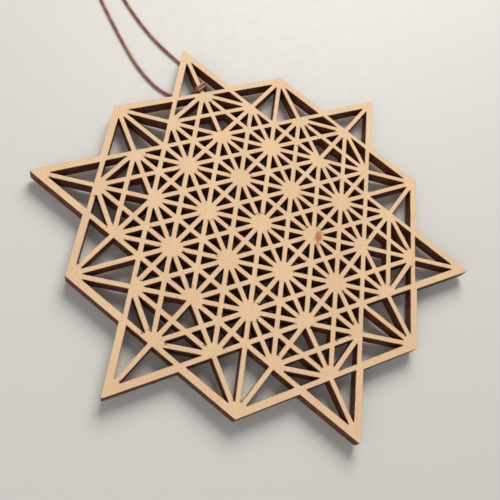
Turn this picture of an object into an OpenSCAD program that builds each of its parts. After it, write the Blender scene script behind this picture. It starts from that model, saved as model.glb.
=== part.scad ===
// Flat openwork star ornament cut from thin plywood, with a hanging loop of round cord.
// X and Y lie in the sheet, +Y runs to the tip that carries the cord, +Z leaves the show face.
// The origin is the centre of the star, half way through the sheet.

/* [Star] */
// Distance between neighbouring twelve-way crossings of the lattice
pitch = 13.5; // [12:0.5:16]
// Width of every inner line of the lattice
line_w = 1.2; // [0.9:0.1:1.4]
// How far the rim reaches outside the outermost lattice line
rim_out = 1.05; // [0.8:0.05:1.3]
// How far the rim reaches inside the outermost lattice line
rim_in = 0.7; // [0.6:0.05:0.9]

/* [Sheet] */
// Thickness of the whole three-ply sheet
sheet_t = 3; // [2.6:0.1:4]
// Thickness of each face veneer, with the core between them
veneer_t = 0.8; // [0.5:0.1:1]

/* [Hanging cord] */
// Diameter of the round cord
cord_d = 0.8; // [0.6:0.1:1]
// Length of the two tails past the end knot
tail_len = 5; // [3:0.5:8]

/* [Hidden] */

// Clearance between the cord and the wood
gap = 0.1;
half_t = sheet_t / 2;
core_t = sheet_t - 2 * veneer_t;
root3 = sqrt(3);

// Lines parallel to the edges of the lattice triangles: [distance from the centre, half length],
// both in pitches. The lines at 2 are the sides of the six-pointed star, those at 3 of the hexagon.
SIDE_LINES = [[0, 2 * root3], [0.5, 1.5 * root3], [1, root3], [1.5, 1.5 * root3],
              [2, 2 * root3], [2.5, root3 / 2], [3, root3]];
// Lines along the heights of those triangles: [distance from the centre, start, end], in pitches
HEIGHT_LINES = [[0, -4, 4], [root3 / 2, -2.5, 2.5], [root3, -3, 3],
                [1.5 * root3, 0.5, 1.5], [1.5 * root3, -1.5, -0.5]];

// The hitch grips the rib of the corded tip, just above the line that closes the hexagon
hitch_above_line = 1.35;
hitch_y = 3 * pitch + line_w / 2 + hitch_above_line;
rib_half = line_w / 2;
hitch_slope = 33;
hitch_bar = [3.6, 2 * cord_d, cord_d];
hitch_left = -2.6;
hitch_right = 1.9;
hitch_low = -1.2;
hitch_high = 1.7;
left_post_w = 1.4;
right_post_w = cord_d;
floor_z = -half_t - gap - cord_d;
lying_z = floor_z + cord_d / 2;

// The end knot lies on the same surface as the strands
knot_r = 1.5;
knot_len = 4;
knot_x = -13.6;
knot_y = 72;
knot_z = floor_z + knot_r;
KNOT_SIDES = 48;
// The tails lie on that surface side by side, and start inside the knot
tail_apart = 0.7;
tail_root = 0.5;
tail_drop = knot_z - lying_z;
TAIL_SIDES = 24;

// Points that each strand follows on the resting surface, from the hitch to the knot,
// as [x, y, height of its centre above its lying height], measured from the hitch
LEFT_ROUTE = [[-2.6, 0.6, 0], [-3.4, 0.6, 0], [-4.6, 0.8, 0], [-6, 1.3, 0], [-7.4, 2.2, 0],
              [-8.8, 3.6, 0], [-10.1, 5.5, 0], [-11.1, 7.6, 0], [-12.1, 10.4, 0],
              [-13, 14, 0], [-13.7, 18.5, 0], [-14.3, 24, 0], [-14.8, 30, 0], [-15.2, 36, 0],
              [-15.4, 42, 0], [-15.4, 48, 0], [-15.2, 54, 0], [-14.8, 60, 0.1],
              [-14.3, 66, 0.2], [-14.05, 70, 0.5], [-14.05, 72, 0.5]];
RIGHT_ROUTE = [[1.3, 1.7, 0], [1.35, 2.8, 0], [1.15, 5, 0], [0.7, 7.6, 0], [0, 10, 0],
               [-1.2, 12.8, 0], [-2.6, 15.7, 0], [-4.1, 19, 0], [-5.5, 22.8, 0],
               [-6.7, 26.8, 0], [-7.7, 31.2, 0], [-8.6, 36.4, 0], [-9.4, 42, 0],
               [-10.2, 48, 0], [-11, 54, 0], [-11.9, 60, 0.1], [-12.7, 66, 0.2],
               [-13.15, 70, 0.5], [-13.15, 72, 0.5]];
STRAND_SIDES = 8;
// Rings of the tube for each step of the route
RINGS_A_STEP = 2;

// A flat bar with its centreline at a distance from the centre, from start to end along it
module line(distance, start, end) {
    translate([start * pitch, distance * pitch - line_w / 2])
        square([(end - start) * pitch, line_w]);
}

// Both copies of a line, one on each side of the centre
module line_pair(distance, start, end) {
    line(distance, start, end);
    if (distance > 0) rotate(180) line(distance, start, end);
}

module lattice() {
    for (turn = [0, 60, 120]) {
        rotate(turn)
            for (l = SIDE_LINES) line_pair(l[0], -l[1], l[1]);
        rotate(turn + 30)
            for (l = HEIGHT_LINES) line_pair(l[0], l[1], l[2]);
    }
}

// Regular polygon by the distance of its sides from the centre
module by_apothem(sides, apothem, turn) {
    corner = apothem / cos(180 / sides);
    polygon([for (i = [0:sides - 1])
        corner * [cos(turn + i * 360 / sides), sin(turn + i * 360 / sides)]]);
}

// The outline: a hexagon and a six-pointed star, moved out by grow
module star(grow) {
    by_apothem(6, 3 * pitch + grow, 0);
    by_apothem(3, 2 * pitch + grow, 90);
    by_apothem(3, 2 * pitch + grow, 30);
}

module sheet_outline() {
    difference() {
        star(rim_out);
        star(-rim_in);
    }
    lattice();
}

module ply(bottom, thickness) {
    translate([0, 0, bottom])
        linear_extrude(height = thickness) sheet_outline();
}

module front_veneer() {
    color([0.86, 0.71, 0.54]) ply(half_t - veneer_t, veneer_t);
}

module core_ply() {
    color([0.28, 0.15, 0.10]) ply(-core_t / 2, core_t);
}

module back_veneer() {
    color([0.82, 0.67, 0.50]) ply(-half_t, veneer_t);
}

// The hitch: two turns across the show face, down both sides of the rib and joined behind it
module cord_hitch() {
    post_h = sheet_t + 2 * (gap + cord_d);
    color([0.52, 0.30, 0.26])
        translate([0, hitch_y, 0]) {
            translate([0, 0, half_t + gap + cord_d / 2])
                rotate(hitch_slope) cube(hitch_bar, center = true);
            translate([hitch_right - right_post_w, 0, floor_z])
                cube([right_post_w, hitch_high, post_h]);
            translate([-rib_half - gap - left_post_w, hitch_low, floor_z])
                cube([left_post_w, hitch_high, post_h]);
            translate([hitch_left, hitch_low, floor_z])
                cube([hitch_right - hitch_left, hitch_high - hitch_low, cord_d]);
        }
}

function unit(v) = v / norm(v);

// Direction of the route at each point, as the mean of the directions before and after it
function heading(p, i) =
    i == 0 ? unit(p[1] - p[0])
    : i == len(p) - 1 ? unit(p[i] - p[i - 1])
    : unit(unit(p[i + 1] - p[i]) + unit(p[i] - p[i - 1]));

// Ring of corners round one point of the route, square to its heading
function ring(point, ahead) =
    let (side = unit(cross(ahead, [0, 0, 1])), up = cross(side, ahead))
    [for (k = [0:STRAND_SIDES - 1])
        let (a = (k + 0.5) * 360 / STRAND_SIDES)
        point + cord_d / 2 * (cos(a) * side + sin(a) * up)];

// Point on the smooth curve through a, b, c and d, part of the way from b to c
function between(a, b, c, d, part) =
    let (lead_in = (c - a) / 2, lead_out = (d - b) / 2, back = 1 - part)
    b * back * back * (1 + 2 * part) + c * part * part * (3 - 2 * part)
    + lead_in * part * back * back - lead_out * part * part * back;

// The route with more points on the smooth curve through its own
function smoothed(p) =
    let (last = len(p) - 1)
    [for (i = [0:last * RINGS_A_STEP])
        let (step = min(floor(i / RINGS_A_STEP), last - 1))
        between(p[max(step - 1, 0)], p[step], p[step + 1], p[min(step + 2, last)],
                i / RINGS_A_STEP - step)];

// Round tube along a route, closed at both ends
module tube(route) {
    n = STRAND_SIDES;
    last = (len(route) - 1) * n;
    points = [for (i = [0:len(route) - 1]) each ring(route[i], heading(route, i))];
    walls = [for (i = [0:len(route) - 2]) for (k = [0:n - 1])
        [i * n + k, i * n + (k + 1) % n, (i + 1) * n + (k + 1) % n, (i + 1) * n + k]];
    caps = [[for (k = [n - 1:-1:0]) k], [for (k = [0:n - 1]) last + k]];
    polyhedron(points = points, faces = concat(walls, caps));
}

// A route given from the hitch, in the place where it lies
function placed(route) = smoothed([for (p = route) [p[0], p[1] + hitch_y, p[2] + lying_z]]);

module cord_strand_left() {
    color([0.56, 0.34, 0.30]) tube(placed(LEFT_ROUTE));
}

module cord_strand_right() {
    color([0.56, 0.34, 0.30]) tube(placed(RIGHT_ROUTE));
}

// The end knot, with the two cut tails past it
module cord_knot() {
    color([0.50, 0.29, 0.25])
        translate([knot_x, hitch_y + knot_y, knot_z])
            rotate([-90, 0, 0]) {
                cylinder(h = knot_len, r = knot_r, $fn = KNOT_SIDES);
                for (side = [-1, 1])
                    translate([side * tail_apart / 2, tail_drop, knot_len - tail_root])
                        cylinder(h = tail_root + tail_len, r = cord_d / 2, $fn = TAIL_SIDES);
            }
}

front_veneer();
core_ply();
back_veneer();
cord_hitch();
cord_strand_left();
cord_strand_right();
cord_knot();
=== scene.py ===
"""Looks of a hanging star ornament: a laser-cut plywood lattice and its loop of round cord.

Everything is in metres, in the part's own frame: X and Y lie in the sheet, +Y runs to the tip
that carries the cord, and +Z leaves the show face. Lengths written with MM are turned into metres.
"""

import math

import bpy
import numpy as np
from mathutils import Matrix, Vector
from mathutils.geometry import delaunay_2d_cdt


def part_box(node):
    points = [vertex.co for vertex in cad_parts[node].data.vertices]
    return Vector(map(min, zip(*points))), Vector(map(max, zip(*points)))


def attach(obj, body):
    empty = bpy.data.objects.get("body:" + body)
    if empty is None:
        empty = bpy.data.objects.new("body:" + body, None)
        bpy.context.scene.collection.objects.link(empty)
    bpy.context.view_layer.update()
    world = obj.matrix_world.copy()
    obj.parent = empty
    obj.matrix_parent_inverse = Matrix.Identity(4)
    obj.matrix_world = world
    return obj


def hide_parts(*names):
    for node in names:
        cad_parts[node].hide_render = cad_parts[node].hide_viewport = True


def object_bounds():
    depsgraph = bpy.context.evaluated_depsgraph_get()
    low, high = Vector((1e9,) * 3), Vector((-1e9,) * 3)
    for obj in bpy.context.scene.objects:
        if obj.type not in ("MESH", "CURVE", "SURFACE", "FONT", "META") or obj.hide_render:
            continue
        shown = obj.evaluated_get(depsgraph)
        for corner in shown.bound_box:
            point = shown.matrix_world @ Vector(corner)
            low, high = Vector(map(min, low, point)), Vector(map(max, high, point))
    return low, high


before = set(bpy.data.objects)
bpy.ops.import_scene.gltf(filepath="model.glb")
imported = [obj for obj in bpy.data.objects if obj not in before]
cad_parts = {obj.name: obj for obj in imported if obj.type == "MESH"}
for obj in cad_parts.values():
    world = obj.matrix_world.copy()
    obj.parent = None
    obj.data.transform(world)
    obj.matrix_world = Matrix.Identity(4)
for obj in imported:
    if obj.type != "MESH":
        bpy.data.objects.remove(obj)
cad_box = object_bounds()

MM = 0.001

# The sheet's levels, from its three plies
BACK_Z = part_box("back_veneer")[0].z
FACE_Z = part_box("front_veneer")[1].z
CORE_LOW_Z, CORE_HIGH_Z = (corner.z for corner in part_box("core_ply"))
REST_Z = cad_box[0].z

# ---------------------------------------------------------------- camera

CAMERA_AIM = Vector((-5.57 * MM, -5.96 * MM, FACE_Z))
CAMERA_DISTANCE = 144.5 * MM
CAMERA_HEADING = 48.4    # degrees from +Y towards +X
CAMERA_ELEVATION = 60.7  # degrees above the sheet
CAMERA_ROLL = 28.7       # degrees, right side up
CAMERA_LENS_MM = 43.45   # on Blender's 36 mm sensor
CAMERA_NEAR = 10 * MM


def make_camera():
    heading, tilt = math.radians(CAMERA_HEADING), math.radians(CAMERA_ELEVATION)
    ahead = Vector((
        math.sin(heading) * math.cos(tilt), math.cos(heading) * math.cos(tilt), -math.sin(tilt)))
    level = ahead.cross(Vector((0, 0, 1))).normalized()
    roll = math.radians(CAMERA_ROLL)
    right = math.cos(roll) * level + math.sin(roll) * level.cross(ahead)
    up = right.cross(ahead)
    data = bpy.data.cameras.new("camera")
    data.lens = CAMERA_LENS_MM
    data.clip_start = CAMERA_NEAR
    camera = bpy.data.objects.new("camera", data)
    bpy.context.scene.collection.objects.link(camera)
    turn = Matrix((right, up, -ahead)).transposed()
    camera.matrix_world = Matrix.Translation(CAMERA_AIM - CAMERA_DISTANCE * ahead) @ turn.to_4x4()
    bpy.context.scene.camera = camera


make_camera()

# ---------------------------------------------------------------- shader helpers


def linear(red, green, blue):
    """A colour given as 0 to 255 display values, as the linear numbers that shaders use."""
    def one(value):
        share = value / 255
        return share / 12.92 if share <= 0.04045 else ((share + 0.055) / 1.055) ** 2.4
    return (one(red), one(green), one(blue), 1)


class Shader:
    """A material under construction. Its methods add nodes and return their output sockets."""

    def __init__(self, name):
        self.material = bpy.data.materials.new(name)
        self.material.use_nodes = True
        self.tree = self.material.node_tree
        self.surface = self.tree.nodes["Principled BSDF"]

    def feed(self, node, key, value):
        if isinstance(value, bpy.types.NodeSocket):
            self.tree.links.new(value, node.inputs[key])
        elif value is not None:
            node.inputs[key].default_value = value

    def node(self, kind, inputs, output=0, **settings):
        made = self.tree.nodes.new(kind)
        for key, value in settings.items():
            setattr(made, key, value)
        for key, value in inputs.items():
            self.feed(made, key, value)
        return made.outputs[output]

    def place(self, scale=(1, 1, 1), turn=0.0, origin=(0, 0, 0)):
        """Object coordinates in millimetres from origin, turned back by turn degrees and
        scaled."""
        own = self.node("ShaderNodeTexCoord", {}, output="Object")
        shifted = self.node("ShaderNodeMapping", {
            "Vector": own, "Scale": (1 / MM,) * 3, "Location": [-c / MM for c in origin]})
        turned = self.node("ShaderNodeMapping", {
            "Vector": shifted, "Rotation": (0, 0, -math.radians(turn))})
        return self.node("ShaderNodeMapping", {"Vector": turned, "Scale": scale})

    def noise(self, where, scale=1.0, detail=2.0, roughness=0.5, distortion=0.0):
        return self.node("ShaderNodeTexNoise", {
            "Vector": where, "Scale": scale, "Detail": detail,
            "Roughness": roughness, "Distortion": distortion})

    def ramp(self, value, low, high, to_low=0.0, to_high=1.0):
        return self.node("ShaderNodeMapRange", {
            "Value": value, "From Min": low, "From Max": high,
            "To Min": to_low, "To Max": to_high}, interpolation_type="SMOOTHSTEP")

    def math(self, operation, a, b=0.0):
        return self.node("ShaderNodeMath", {0: a, 1: b}, operation=operation)

    def mix(self, share, a, b, blend="MIX"):
        return self.node(
            "ShaderNodeMix", {"Factor": share, 6: a, 7: b},
            output=2, data_type="RGBA", blend_type=blend)

    def attribute(self, name):
        return self.node("ShaderNodeAttribute", {}, output="Fac", attribute_name=name)

    def bump(self, height, strength, distance, normal=None):
        return self.node("ShaderNodeBump", {
            "Height": height, "Strength": strength, "Distance": distance, "Normal": normal})

    def finish(self, colour, roughness, normal=None, **constants):
        self.feed(self.surface, "Base Color", colour)
        self.feed(self.surface, "Roughness", roughness)
        self.feed(self.surface, "Normal", normal)
        for key, value in constants.items():
            self.surface.inputs[key.replace("_", " ")].default_value = value
        return self.material


# ---------------------------------------------------------------- the cord

CORD_D = 0.8 * MM
HITCH_TOP = 1.7 * MM       # how far the CAD hitch reaches above its middle
HITCH_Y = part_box("cord_hitch")[1].y - HITCH_TOP
LYING_Z = REST_Z + CORD_D / 2

# Points that each strand follows, as in the CAD source: [x, y, height above its lying height],
# in millimetres from the hitch
LEFT_ROUTE = [[-2.6, 0.6, 0], [-3.4, 0.6, 0], [-4.6, 0.8, 0], [-6, 1.3, 0], [-7.4, 2.2, 0],
              [-8.8, 3.6, 0], [-10.1, 5.5, 0], [-11.1, 7.6, 0], [-12.1, 10.4, 0],
              [-13, 14, 0], [-13.7, 18.5, 0], [-14.3, 24, 0], [-14.8, 30, 0], [-15.2, 36, 0],
              [-15.4, 42, 0], [-15.4, 48, 0], [-15.2, 54, 0], [-14.8, 60, 0.1],
              [-14.3, 66, 0.2], [-14.05, 70, 0.5], [-14.05, 72, 0.5]]
RIGHT_ROUTE = [[1.3, 1.7, 0], [1.35, 2.8, 0], [1.15, 5, 0], [0.7, 7.6, 0], [0, 10, 0],
               [-1.2, 12.8, 0], [-2.6, 15.7, 0], [-4.1, 19, 0], [-5.5, 22.8, 0],
               [-6.7, 26.8, 0], [-7.7, 31.2, 0], [-8.6, 36.4, 0], [-9.4, 42, 0],
               [-10.2, 48, 0], [-11, 54, 0], [-11.9, 60, 0.1], [-12.7, 66, 0.2],
               [-13.15, 70, 0.5], [-13.15, 72, 0.5]]

# The hitch, from the end of the left strand to the start of the right one: two turns round the
# rib, as [x, y, z above the middle of the sheet], in millimetres from the hitch
HITCH_ROUTE = [[-2.35, 0.5, -1.85], [-2.15, 0.38, -1.4], [-2.0, 0.22, -0.8], [-1.75, 0, 0],
               [-1.45, -0.22, 0.75], [-1.15, -0.42, 1.4], [-0.9, -0.56, 1.82], [-0.6, -0.6, 2.0],
               [0, -0.42, 2.0], [0.6, -0.1, 2.0], [1.2, 0.24, 1.9], [1.65, 0.42, 1.5],
               [1.8, 0.45, 0.8], [1.72, 0.35, 0], [1.55, 0.15, -1.0], [1.15, 0.02, -1.75],
               [0.6, -0.03, -2.0], [0, -0.05, -2.0], [-0.6, -0.06, -2.0], [-1.02, -0.06, -1.7],
               [-1.14, -0.05, -1.2], [-1.14, 0, 0], [-1.14, 0.1, 1.1], [-1.0, 0.14, 1.65],
               [-0.6, 0.26, 2.0], [0, 0.56, 2.0], [0.6, 0.9, 2.0], [1.2, 1.22, 1.9],
               [1.65, 1.38, 1.5], [1.8, 1.35, 0.8], [1.75, 1.24, 0], [1.65, 1.08, -0.9],
               [1.5, 1.12, -1.5], [1.35, 1.4, -1.88]]


def smooth_line(points, steps):
    """More points on the smooth curve through points, as in the CAD source's routes."""
    p = np.array(points, float)
    padded = np.concatenate([p[:1], p, p[-1:]])
    found = []
    for a, b, c, d in zip(padded, padded[1:], padded[2:], padded[3:]):
        lead_in, lead_out = (c - a) / 2, (d - b) / 2
        for t in np.arange(steps) / steps:
            back = 1 - t
            found.append(b * back * back * (1 + 2 * t) + c * t * t * (3 - 2 * t)
                         + lead_in * t * back * back - lead_out * t * t * back)
    found.append(p[-1])
    return np.array(found)


def resampled(points, count):
    """The same line with count points an even distance apart."""
    along = np.concatenate([[0], np.cumsum(np.linalg.norm(np.diff(points, axis=0), axis=1))])
    at = np.linspace(0, along[-1], count)
    return np.stack([np.interp(at, along, points[:, k]) for k in range(3)], axis=1)


def even_line(points, step):
    """The same line with points about step apart."""
    return resampled(points, max(2, round(line_length(points) / step) + 1))


def line_length(points):
    return float(np.linalg.norm(np.diff(points, axis=0), axis=1).sum())


def placed(route, base_z):
    """A route given in millimetres from the hitch, in the part's frame in metres."""
    return np.array(route, float) * MM + np.array([0, HITCH_Y, base_z])


TWIST_PITCH = 2.6 * MM
PLIES_IN_CORD = 3
PLY_DEPTH = 0.05         # how far the grooves between the cord's plies go in, as a share
CORD_SIDES = 18
TIP_SHARE = 0.2            # of the radius that is left at the tip of a round end
RING_STEP = 0.14 * MM
CORD_CREASE = 60           # degrees past which an edge is shaded as a crease
CURVE_STEPS = 8            # for each step of the route


def frames_along(line):
    """A side and an up direction at each point of line, carried along it without twisting."""
    ahead = np.gradient(line, axis=0)
    ahead /= np.linalg.norm(ahead, axis=1)[:, None]
    side = np.cross(ahead[0], [0, 0, 1.0])
    sides = []
    for direction in ahead:
        side = side - (side @ direction) * direction
        side = side / np.linalg.norm(side)
        sides.append(side)
    sides = np.array(sides)
    return sides, np.cross(sides, ahead)


def tube(line, sides, ups, turn, radius, round_ends=(False, False)):
    """Points and faces of a closed tube of twisted plies round line. A round end narrows over its
    last few rings."""
    count = len(line)
    angle = np.arange(CORD_SIDES) * 2 * math.pi / CORD_SIDES
    groove = 1 - PLY_DEPTH * (1 + np.cos(PLIES_IN_CORD * (angle[None, :] - turn[:, None]))) / 2
    reach = radius * groove
    from_start = np.concatenate([[0], np.cumsum(np.linalg.norm(np.diff(line, axis=0), axis=1))])
    for wanted, away in zip(round_ends, (from_start, from_start[-1] - from_start)):
        if wanted:
            near = np.clip(away / radius, 0, 1)
            narrow = np.sqrt(np.clip(1 - (1 - near) ** 2, TIP_SHARE ** 2, 1))
            reach = reach * narrow[:, None]
    ring = (np.cos(angle)[None, :, None] * sides[:, None, :]
            + np.sin(angle)[None, :, None] * ups[:, None, :])
    points = (line[:, None, :] + reach[:, :, None] * ring).reshape(-1, 3)
    faces = []
    for i in range(count - 1):
        for k in range(CORD_SIDES):
            after = (k + 1) % CORD_SIDES
            faces.append((i * CORD_SIDES + k, i * CORD_SIDES + after,
                          (i + 1) * CORD_SIDES + after, (i + 1) * CORD_SIDES + k))
    faces.append(tuple(range(CORD_SIDES))[::-1])
    faces.append(tuple(range((count - 1) * CORD_SIDES, count * CORD_SIDES)))
    return points, faces


def mesh_of(name, tubes):
    """One mesh from the points and faces of several tubes."""
    points, faces = [], []
    for own_points, own_faces in tubes:
        faces += [tuple(c + len(points) for c in face) for face in own_faces]
        points += [tuple(point) for point in own_points]
    mesh = bpy.data.meshes.new(name)
    mesh.from_pydata(points, [], faces)
    mesh.shade_smooth()
    mesh.set_sharp_from_angle(angle=math.radians(CORD_CREASE))
    return mesh


def new_object(name, mesh, *materials):
    made = bpy.data.objects.new(name, mesh)
    bpy.context.scene.collection.objects.link(made)
    for material in materials:
        made.data.materials.append(material)
    return made


def cord_material():
    s = Shader("waxed_cord")
    where = s.place()
    mottle = s.noise(where, scale=0.45, detail=3.0, roughness=0.6)
    fibres = s.noise(where, scale=9.0, detail=3.0, roughness=0.65)
    colour = s.mix(s.ramp(mottle, 0.35, 0.68), linear(140, 84, 66), linear(184, 128, 108))
    colour = s.mix(s.ramp(fibres, 0.45, 0.75, 0.0, 0.45), colour, linear(104, 58, 50))
    normal = s.bump(fibres, 0.35, 0.05 * MM)
    return s.finish(colour, s.ramp(fibres, 0.3, 0.7, 0.42, 0.6), normal, Specular_IOR_Level=0.5)


# The end knot: both cords laid as one loose overhand knot, which is then drawn tight
KNOT_POINTS = 120          # on each cord
KNOT_WIDTH = 1.55 * MM     # of the loose knot, as a scale of the trefoil that it starts as
KNOT_MIDDLE = 4.2 * MM     # from where the cords enter to the middle of the loose knot
KNOT_HEIGHT = 1.9 * MM     # of its middle above the surface
TREFOIL_POINTS = 160
CORDS_APART = 0.9 * MM
TREFOIL_CUT = 0.75         # how much of the trefoil is left out at each end, in radians
STRAIGHT_IN = 0.4 * MM
STRAIGHT_OUT = 2 * MM
PULLED_TO = 14 * MM        # where the tails are held while the knot is drawn tight
TAILS_APART = 1.8 * MM
TAIL_ENDS = (10.7 * MM, 11.4 * MM)
KNOT_CURVE_STEPS = 4
DRAW_STEPS = 900
DRAW_SHARE = 0.9988        # of its length that each cord keeps in one step
FIRST_STEPS = 200
TIGHT = 1.06               # stretch at which the drawing stops
SETTLE_STEPS = 150
BENDING = 0.2              # share of the way to a straight line in one step
SINKING = 0.002 * MM
LENGTH_PASSES = 4
PUSHING = 0.8              # share of an overlap that each point moves out of it in one step
NEVER_ZERO = 1e-9
NEAR_ALONG = 1.3 * MM      # nearer than this along the same cord, points don't push apart


def loose_knot(entries):
    """Both cords in a loose overhand knot, from the points where they enter it."""
    t = np.linspace(math.pi + TREFOIL_CUT, 3 * math.pi - TREFOIL_CUT,
                    TREFOIL_POINTS)
    x = np.cos(t) - 2 * np.cos(2 * t)
    trefoil = KNOT_WIDTH * np.stack([x - x[0], -np.sin(t) - 2 * np.sin(2 * t), -np.sin(3 * t)], 1)
    ahead = np.gradient(trefoil, axis=0)
    aside = np.stack([ahead[:, 1], -ahead[:, 0], 0 * x], 1)
    aside /= np.linalg.norm(aside, axis=1)[:, None]
    middle = np.mean(entries, axis=0)
    middle[1] += KNOT_MIDDLE
    middle[2] = REST_Z + KNOT_HEIGHT
    cords = []
    for side, entry in zip((-0.5, 0.5), entries):
        leave = np.array([middle[0] + side * TAILS_APART, entry[1] + PULLED_TO, LYING_Z])
        body = middle + trefoil + side * CORDS_APART * aside
        first = [entry, entry + [0, STRAIGHT_IN, 0]]
        last = [leave - [0, STRAIGHT_OUT, 0], leave]
        cords.append(resampled(np.concatenate([first, body, last]), KNOT_POINTS))
    return np.array(cords)


def drawn_tight(cords):
    """The cords pulled tight between their held ends: they shorten, stay stiff, lie on the
    surface and push each other apart to one diameter."""
    count = cords.shape[1]
    held = cords.copy()
    rest = np.linalg.norm(np.diff(cords, axis=1), axis=2).mean(1)
    which, place = np.divmod(np.arange(2 * count), count)
    same = which[:, None] == which[None, :]
    steps_apart = np.abs(place[:, None] - place[None, :])
    stop = None
    for step in range(DRAW_STEPS):
        real = np.linalg.norm(np.diff(cords, axis=1), axis=2).mean(1)
        if stop is None and step > FIRST_STEPS and (real / rest).max() > TIGHT:
            stop, rest = step + SETTLE_STEPS, real
        if stop is None:
            rest = rest * DRAW_SHARE
        elif step == stop:
            break
        cords[:, 1:-1] += BENDING * ((cords[:, :-2] + cords[:, 2:]) / 2 - cords[:, 1:-1])
        cords[:, :, 2] -= SINKING
        for odd in (0, 1) * LENGTH_PASSES:
            pairs = (count - odd) // 2
            low = slice(odd, odd + 2 * pairs, 2)
            high = slice(odd + 1, odd + 2 * pairs, 2)
            apart = cords[:, high] - cords[:, low]
            size = np.linalg.norm(apart, axis=2)[:, :, None]
            push = 0.5 * (size - rest[:, None, None]) / size * apart
            cords[:, low] += push
            cords[:, high] -= push
        flat = cords.reshape(-1, 3)
        apart = flat[:, None] - flat[None, :]
        size = np.sqrt((apart ** 2).sum(2)) + NEVER_ZERO
        near = (size < CORD_D) & ~(same & (steps_apart < round(NEAR_ALONG / float(real.mean()))))
        share = np.where(near, (CORD_D - size) / size, 0)
        touching = np.maximum(near.sum(1), 1)
        flat = flat + PUSHING * (share[:, :, None] * apart).sum(1) / touching[:, None]
        cords = flat.reshape(2, count, 3)
        cords[:, :, 2] = np.maximum(cords[:, :, 2], LYING_Z)
        cords[:, :2] = held[:, :2]
        cords[:, -1] = held[:, -1]
    return cords


def knot_lines(entries):
    """The line of each cord from where it enters the knot to the cut end of its tail."""
    lines = []
    for cord, end in zip(drawn_tight(loose_knot(entries)), TAIL_ENDS):
        line = smooth_line(cord, KNOT_CURVE_STEPS)
        past = np.flatnonzero(line[:, 1] > entries[0][1] + end)[0]
        lines.append(even_line(line[:past], RING_STEP))
    return lines


def make_cord():
    left = placed(LEFT_ROUTE, LYING_Z)[::-1]
    hitch = placed(HITCH_ROUTE, 0)
    right = placed(RIGHT_ROUTE, LYING_Z)
    whole = smooth_line(np.concatenate([left, hitch, right]), CURVE_STEPS)
    cuts = [0, (len(left) - 1) * CURVE_STEPS, (len(left) + len(hitch)) * CURVE_STEPS,
            len(whole) - 1]
    parts = [even_line(whole[a:b + 1], RING_STEP) for a, b in zip(cuts, cuts[1:])]
    knots = knot_lines([left[0], right[-1]])
    parts = [knots[0][::-1]] + parts + [knots[1]]
    line = np.concatenate([parts[0]] + [part[1:] for part in parts[1:]])
    sides, ups = frames_along(line)
    along = np.concatenate([[0], np.cumsum(np.linalg.norm(np.diff(line, axis=0), axis=1))])
    turn = along * 2 * math.pi / TWIST_PITCH
    ends = np.cumsum([0] + [len(part) - 1 for part in parts])
    cut_ends = [(True, False), (False, False), (False, False), (False, False), (False, True)]
    tubes = []
    for a, b, round_ends in zip(ends, ends[1:], cut_ends):
        cut = slice(a, b + 1)
        tubes.append(tube(line[cut], sides[cut], ups[cut], turn[cut], CORD_D / 2, round_ends))
    material = cord_material()
    pieces = {"strand_left": ([tubes[1]], "cord_strand_left"),
              "hitch_turns": ([tubes[2]], "cord_hitch"),
              "strand_right": ([tubes[3]], "cord_strand_right"),
              "end_knot": ([tubes[0], tubes[4]], "cord_knot")}
    made = {}
    for name, (own_tubes, node) in pieces.items():
        made[name] = new_object(name, mesh_of(name, own_tubes), material)
        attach(made[name], "hanger")
        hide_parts(node)


make_cord()

# ---------------------------------------------------------------- the sheet

WINDOW_CORNER_R = 0.12 * MM
TIP_CORNER_R = 0.3 * MM
OUTER_SHARE = 0.5         # of each inset that the outermost outline takes
SHORTEST_EDGE = 0.35 * MM  # shorter edges, where lattice lines nearly meet, are closed up
CORNER_STEP = math.radians(28)
HEAT_REACH = 1.3 * MM      # how far from a sharp slot end the beam's heat shows
SHARP_TURN = math.radians(120)
BLUNT_HEAT = 0.25          # of a sharp slot end's heat, at the other corners
ARC_SHARE = 0.3            # the most of an edge that a corner's arc takes up
FAR_SHARE = 0.48           # the most of an edge that lies between a corner and its far points
KEY_STEPS = 1e7            # grid on which points of the outlines are matched, in steps to a metre
SAME_HEIGHT = 1e-6
STRAIGHT = math.radians(1)
STEEPEST = 0.4             # limits how far a mitre reaches at a sharp corner


def outline_loops(node):
    """The closed outlines of a ply's upper face, as arrays of corners, the outer one first."""
    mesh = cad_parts[node].data
    points = np.array([v.co for v in mesh.vertices])
    top = points[:, 2].max()
    key = [(round(x * KEY_STEPS), round(y * KEY_STEPS)) for x, y, _ in points]
    following = {}
    mesh.calc_loop_triangles()
    edges = set()
    for triangle in mesh.loop_triangles:
        corners = list(triangle.vertices)
        if all(points[c][2] > top - SAME_HEIGHT for c in corners):
            for a, b in zip(corners, corners[1:] + corners[:1]):
                edges.add((key[a], key[b]))
    for a, b in edges:
        if (b, a) not in edges:
            following.setdefault(a, []).append(b)
    loops = []
    while following:
        start = at = min(following)
        loop = []
        while True:
            loop.append(at)
            after = following[at].pop()
            if not following[at]:
                del following[at]
            at = after
            if at == start:
                break
        loops.append(straightened(np.array(loop, float) / KEY_STEPS))
    loops.sort(key=lambda loop: -abs(area_of(loop)))
    return loops


def area_of(loop):
    x, y = loop[:, 0], loop[:, 1]
    return float((x * np.roll(y, -1) - np.roll(x, -1) * y).sum() / 2)


def turns_of(loop):
    """The angle turned at each corner, positive to the left."""
    before = loop - np.roll(loop, 1, axis=0)
    after = np.roll(loop, -1, axis=0) - loop
    cross = before[:, 0] * after[:, 1] - before[:, 1] * after[:, 0]
    return np.arctan2(cross, (before * after).sum(1))


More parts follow.
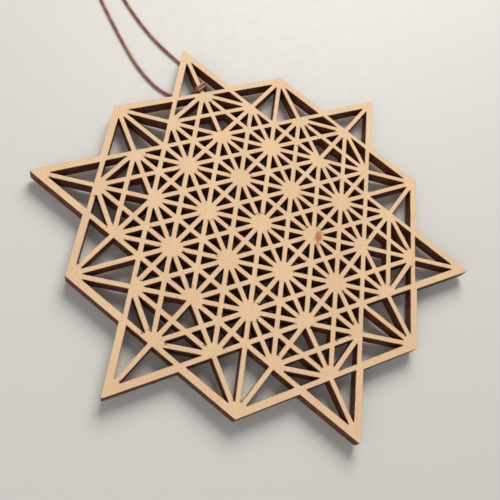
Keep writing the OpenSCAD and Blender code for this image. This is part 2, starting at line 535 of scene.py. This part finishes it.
def straightened(loop):
    """The loop without the points on a straight run, and with its shortest edges closed up."""
    loop = loop[np.abs(turns_of(loop)) > STRAIGHT]
    size = np.linalg.norm(np.roll(loop, -1, axis=0) - loop, axis=1)
    loop = np.roll(loop, -1 - int(size.argmax()), axis=0)
    size = np.linalg.norm(np.roll(loop, -1, axis=0) - loop, axis=1)
    found, first = [], 0
    for i in range(len(loop)):
        if size[i] < SHORTEST_EDGE:
            continue
        if i == first:
            found.append(loop[i])
        else:
            found.append(crossing(loop[first - 1], loop[first], loop[i], loop[(i + 1) % len(loop)]))
        first = i + 1
    return np.array(found)


def crossing(a, b, c, d):
    """Where the line through a and b meets the line through c and d."""
    ahead, other = b - a, d - c
    across = ahead[0] * other[1] - ahead[1] * other[0]
    return a + ahead * ((c - a)[0] * other[1] - (c - a)[1] * other[0]) / across


def rounded(loop, radius):
    """The loop with each corner an arc, and points close to it on both sides: (points, heat)."""
    turns = turns_of(loop)
    size = np.linalg.norm(np.roll(loop, -1, axis=0) - loop, axis=1)
    points, heat = [], []
    for i, corner in enumerate(loop):
        to_before = loop[i - 1] - corner
        to_after = loop[(i + 1) % len(loop)] - corner
        to_before /= np.linalg.norm(to_before)
        to_after /= np.linalg.norm(to_after)
        half = abs(turns[i]) / 2
        room = ARC_SHARE * min(size[i - 1], size[i])
        back = min(radius * math.tan(half), room)
        arc_r = back / math.tan(half)
        middle = corner + (to_before + to_after) / np.linalg.norm(to_before + to_after) * (
            arc_r / math.cos(half))
        a = corner + to_before * back - middle
        b = corner + to_after * back - middle
        steps = max(2, math.ceil(abs(turns[i]) / CORNER_STEP))
        sharp = 1.0 if abs(turns[i]) > SHARP_TURN else BLUNT_HEAT
        far = min(back + HEAT_REACH, FAR_SHARE * min(size[i - 1], size[i]))
        points.append(corner + to_before * far)
        heat.append(0.0)
        spread = math.atan2(a[0] * b[1] - a[1] * b[0], a @ b)
        for k in range(steps + 1):
            turn = spread * k / steps
            points.append(middle + np.array([
                a[0] * math.cos(turn) - a[1] * math.sin(turn),
                a[0] * math.sin(turn) + a[1] * math.cos(turn)]))
            heat.append(sharp)
        points.append(corner + to_after * far)
        heat.append(0.0)
    return np.array(points), np.array(heat)


def inward(loop):
    """The direction into the wood at each point of a loop that has wood on its left, scaled to
    keep an offset outline parallel."""
    ahead = np.roll(loop, -1, axis=0) - loop
    ahead /= np.linalg.norm(ahead, axis=1)[:, None]
    behind = np.roll(ahead, 1, axis=0)
    normal = np.stack([-(ahead + behind)[:, 1], (ahead + behind)[:, 0]], axis=1)
    normal /= np.linalg.norm(normal, axis=1)[:, None]
    square = np.stack([-ahead[:, 1], ahead[:, 0]], axis=1)
    return normal / np.clip((normal * square).sum(1), STEEPEST, 1)[:, None]


LOOPS = outline_loops("front_veneer")
OUTLINES = [rounded(loop, TIP_CORNER_R if i == 0 else WINDOW_CORNER_R)
            for i, loop in enumerate(LOOPS)]


FILL_INSIDE = 1            # delaunay_2d_cdt's output type for the faces inside the outer ring
SAME_POINT = 1e-7


def capped(rings_xy):
    """Triangles that fill the sheet between outlines: the outer one, and the windows cut out."""
    flat = np.concatenate(rings_xy)
    which = np.concatenate([np.full(len(r), i) for i, r in enumerate(rings_xy)])
    edges, start = [], 0
    for ring in rings_xy:
        edges += [(start + k, start + (k + 1) % len(ring)) for k in range(len(ring))]
        start += len(ring)
    scaled = [Vector(p) for p in flat / MM]
    _, _, faces, verts_from, _, _ = delaunay_2d_cdt(scaled, edges, [], FILL_INSIDE, SAME_POINT)
    origin = [v[0] for v in verts_from]
    found = []
    for face in faces:
        corners = [origin[c] for c in face]
        first = which[corners[0]]
        if first != 0 and all(which[c] == first for c in corners):
            continue
        found.append(corners)
    return found


def ply_mesh(name, levels):
    """A ply from rings of its outline, and the level that each face starts from. levels lists
    (z, inset, scorch) from the lowest ring up and over the upper edge. The first and the last
    ring are filled. The inset is in millimetres."""
    points, faces, scorch, slot_end, level_of = [], [], [], [], []
    total = sum(len(p) for p, _ in OUTLINES)
    for z, inset, burnt in levels:
        for outline, hot in OUTLINES:
            reach = inset * (OUTER_SHARE if outline is OUTLINES[0][0] else 1)
            offset = outline + reach * MM * inward(outline)
            points += [(x, y, z) for x, y in offset]
            scorch += [burnt] * len(outline)
            slot_end += list(hot)
    for level in range(len(levels) - 1):
        start = 0
        for outline, _ in OUTLINES:
            n = len(outline)
            for k in range(n):
                a, b = start + k, start + (k + 1) % n
                low, high = level * total, (level + 1) * total
                faces.append((low + a, low + b, high + b, high + a))
                level_of.append(level)
            start += n
    rings = [np.array(points[start:start + total])[:, :2] for start in (0, len(points) - total)]
    cuts = np.cumsum([len(p) for p, _ in OUTLINES])[:-1]
    bottom, top = (np.split(ring, cuts) for ring in rings)
    for triangle in capped(bottom):
        faces.append(tuple(reversed(triangle)))
        level_of.append(-1)
    last = (len(levels) - 1) * total
    for triangle in capped(top):
        faces.append(tuple(last + c for c in triangle))
        level_of.append(len(levels))
    mesh = bpy.data.meshes.new(name)
    mesh.from_pydata(points, [], faces)
    for label, values in (("scorch", scorch), ("slot_end", slot_end)):
        mesh.attributes.new(label, "FLOAT", "POINT").data.foreach_set("value", values)
    return mesh, np.array(level_of)


GRAIN_TURN = 58          # degrees from +X to the grain of the face veneers
EDGE = 0.06              # how far the heat has rounded the edges of the faces, in millimetres
PIN_KNOT = (12.6 * MM, -7.8 * MM, FACE_Z)
PIN_KNOT_TURN = 57


def face_wood():
    s = Shader("face_wood")
    broad = s.noise(s.place((0.035, 0.16, 0.2), GRAIN_TURN), detail=3.0, roughness=0.55)
    figure = s.noise(s.place((0.05, 1.1, 0.5), GRAIN_TURN), detail=4.0, roughness=0.6)
    fibres = s.noise(s.place((0.5, 9.0, 3.0), GRAIN_TURN), detail=3.0, roughness=0.6)
    pores = s.noise(s.place((0.9, 14.0, 4.0), GRAIN_TURN), detail=1.0)
    speckle = s.noise(s.place((1.8, 3.0, 2.0), GRAIN_TURN), detail=4.0, roughness=0.75)
    colour = s.mix(s.ramp(broad, 0.32, 0.7), linear(232, 197, 158), linear(223, 185, 147))
    colour = s.mix(s.ramp(figure, 0.4, 0.72, 0.0, 0.35), colour, linear(213, 172, 134))
    colour = s.mix(s.ramp(fibres, 0.35, 0.75, 0.0, 0.3), colour, linear(208, 170, 132))
    colour = s.mix(s.ramp(pores, 0.66, 0.78, 0.0, 0.45), colour, linear(168, 122, 84))
    colour = s.mix(s.ramp(speckle, 0.42, 0.64, 0.0, 0.6), colour, linear(241, 209, 168))

    near = s.place(turn=PIN_KNOT_TURN, origin=PIN_KNOT)
    wander = s.noise(near, scale=0.7, detail=2.0)
    bent = s.node("ShaderNodeVectorMath", {0: near, 1: s.node("ShaderNodeCombineXYZ", {
        "Y": s.ramp(wander, 0.2, 0.8, -0.7, 0.7)})}, operation="ADD")
    round_it = s.node("ShaderNodeMapping", {"Vector": bent, "Scale": (0.3, 1.15, 1)})
    away = s.node("ShaderNodeVectorMath", {0: round_it}, output="Value", operation="LENGTH")
    colour = s.mix(s.ramp(away, 0.55, 1.5, 0.8, 0.0), colour, linear(204, 158, 116))
    colour = s.mix(s.ramp(away, 0.2, 0.95, 1.0, 0.0), colour, linear(186, 106, 62))

    scorch, heat = s.attribute("scorch"), s.attribute("slot_end")
    blotch = s.noise(s.place(), scale=0.55, detail=3.0, roughness=0.65)
    crumbs = s.noise(s.place(), scale=2.4, detail=3.0, roughness=0.7)
    halo = s.math("MULTIPLY", scorch, s.ramp(blotch, 0.3, 0.75, 0.35, 1.0))
    colour = s.mix(s.ramp(halo, 0.0, 0.85, 0.0, 0.9), colour, linear(120, 70, 44))
    spots = s.math("MULTIPLY", s.ramp(blotch, 0.59, 0.65), s.ramp(heat, 0.3, 0.8))
    spots = s.math("MULTIPLY", spots, s.ramp(crumbs, 0.36, 0.52))
    spots = s.math("MULTIPLY", spots, s.ramp(scorch, 0.0, 0.06))
    colour = s.mix(s.ramp(spots, 0.0, 0.6, 0.0, 0.9), colour, linear(138, 80, 48))
    colour = s.mix(s.ramp(scorch, 0.75, 1.0), colour, linear(84, 48, 32))

    height = s.math("ADD", s.math("MULTIPLY", fibres, 0.6), s.math("MULTIPLY", speckle, 0.4))
    normal = s.bump(height, 0.25, 0.04 * MM)
    normal = s.bump(s.ramp(pores, 0.6, 0.78, 1.0, 0.0), 0.3, 0.03 * MM, normal)
    return s.finish(colour, s.ramp(speckle, 0.3, 0.8, 0.58, 0.72), normal, Specular_IOR_Level=0.35)


def charred_edge(name, across):
    """The cut wall of a ply, burnt dark by the laser. across is the turn of that ply's grain."""
    s = Shader(name)
    stripes = s.noise(s.place((6.0, 6.0, 0.25)), detail=3.0, roughness=0.6)
    broad = s.noise(s.place((0.5, 0.5, 0.3)), detail=3.0, roughness=0.6)
    grain = s.noise(s.place((0.6, 7.0, 7.0), across), detail=3.0, roughness=0.65)
    colour = s.mix(s.ramp(broad, 0.3, 0.72), linear(84, 40, 23), linear(124, 66, 40))
    colour = s.mix(s.ramp(stripes, 0.4, 0.7, 0.0, 0.7), colour, linear(60, 29, 17))
    colour = s.mix(s.ramp(grain, 0.5, 0.78, 0.0, 0.5), colour, linear(136, 80, 50))
    normal = s.bump(stripes, 0.5, 0.08 * MM)
    normal = s.bump(grain, 0.3, 0.04 * MM, normal)
    return s.finish(colour, s.ramp(stripes, 0.3, 0.7, 0.5, 0.68), normal, Specular_IOR_Level=0.4)


SEAM = 0.03                # depth and half width of the groove between plies, in millimetres
HALO = 0.2                 # how far the burnt rim of the faces reaches, in millimetres
MARK_REACH = 0.52          # how far the burn marks at the slot ends reach, in millimetres
NO_LEVELS = (0, -1)
SHEET_CREASE = 32          # degrees past which an edge is shaded as a crease


def make_sheet():
    """The three plies. Each has a list of levels, and the first and last of them whose faces
    show the face wood."""
    face = face_wood()
    veneer_wall = charred_edge("charred_veneer", GRAIN_TURN)
    core_wall = charred_edge("charred_core", GRAIN_TURN + 90)
    low, high = BACK_Z, FACE_Z
    plies = {
        "front_veneer": (veneer_wall, [
            (CORE_HIGH_Z, SEAM, 1.0), (CORE_HIGH_Z + SEAM * MM, 0, 1.0),
            (high - EDGE * MM, 0, 1.0), (high - 0.3 * EDGE * MM, 0.3 * EDGE, 0.9),
            (high, EDGE, 0.5), (high, HALO, 0.2), (high, MARK_REACH, 0.0)], (3, 7)),
        "core_ply": (core_wall, [
            (CORE_LOW_Z, SEAM, 1.0), (CORE_LOW_Z + SEAM * MM, 0, 1.0),
            (CORE_HIGH_Z - SEAM * MM, 0, 1.0), (CORE_HIGH_Z, SEAM, 1.0)], NO_LEVELS),
        "back_veneer": (veneer_wall, [
            (low, MARK_REACH, 0.0), (low, HALO, 0.25), (low, EDGE, 0.6),
            (low + 0.3 * EDGE * MM, 0.3 * EDGE, 0.9), (low + EDGE * MM, 0, 1.0),
            (CORE_LOW_Z - SEAM * MM, 0, 1.0), (CORE_LOW_Z, SEAM, 1.0)], (-1, 1)),
    }
    for node, (wall, levels, (first, last)) in plies.items():
        mesh, level_of = ply_mesh(node + "_cut", levels)
        on_face = (level_of >= first) & (level_of <= last)
        mesh.materials.append(wall)
        mesh.materials.append(face)
        mesh.polygons.foreach_set("material_index", on_face.astype(np.int32))
        mesh.shade_smooth()
        mesh.set_sharp_from_angle(angle=math.radians(SHEET_CREASE))
        made = new_object(node + "_cut", mesh)
        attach(made, "panel")
        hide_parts(node)


make_sheet()

# ---------------------------------------------------------------- floor and light


def floor_material():
    s = Shader("pale_floor")
    grain = s.noise(s.place((0.4, 0.4, 0.4)), detail=3.0)
    return s.finish(linear(214, 211, 206), s.ramp(grain, 0.3, 0.7, 0.55, 0.62), None)


FLOOR_REACH = 3.0


def make_floor():
    corners = [(-1, -1), (1, -1), (1, 1), (-1, 1)]
    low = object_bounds()[0].z
    mesh = bpy.data.meshes.new("floor")
    mesh.from_pydata([(x * FLOOR_REACH, y * FLOOR_REACH, low) for x, y in corners], [],
                     [(0, 1, 2, 3)])
    new_object("floor", mesh, floor_material())


def make_light(name, place, width, power, colour):
    data = bpy.data.lights.new(name, "AREA")
    data.shape = "DISK"
    data.size = width
    data.energy = power
    data.color = colour
    light = bpy.data.objects.new(name, data)
    light.location = place
    light.rotation_euler = (-Vector(place)).to_track_quat("-Z", "Y").to_euler()
    bpy.context.scene.collection.objects.link(light)


def make_lights():
    make_light("key", (0.30, 0.44, 0.48), 0.5, 5.3, (1.0, 0.97, 0.93))
    make_light("fill", (-0.55, -0.30, 0.40), 0.7, 1.5, (0.95, 0.97, 1.0))
    world = bpy.data.worlds.new("studio")
    world.use_nodes = True
    world.node_tree.nodes["Background"].inputs["Color"].default_value = linear(236, 236, 236)
    world.node_tree.nodes["Background"].inputs["Strength"].default_value = 0.31
    bpy.context.scene.world = world
    bpy.context.scene.view_settings.view_transform = "Standard"


make_floor()
make_lights()
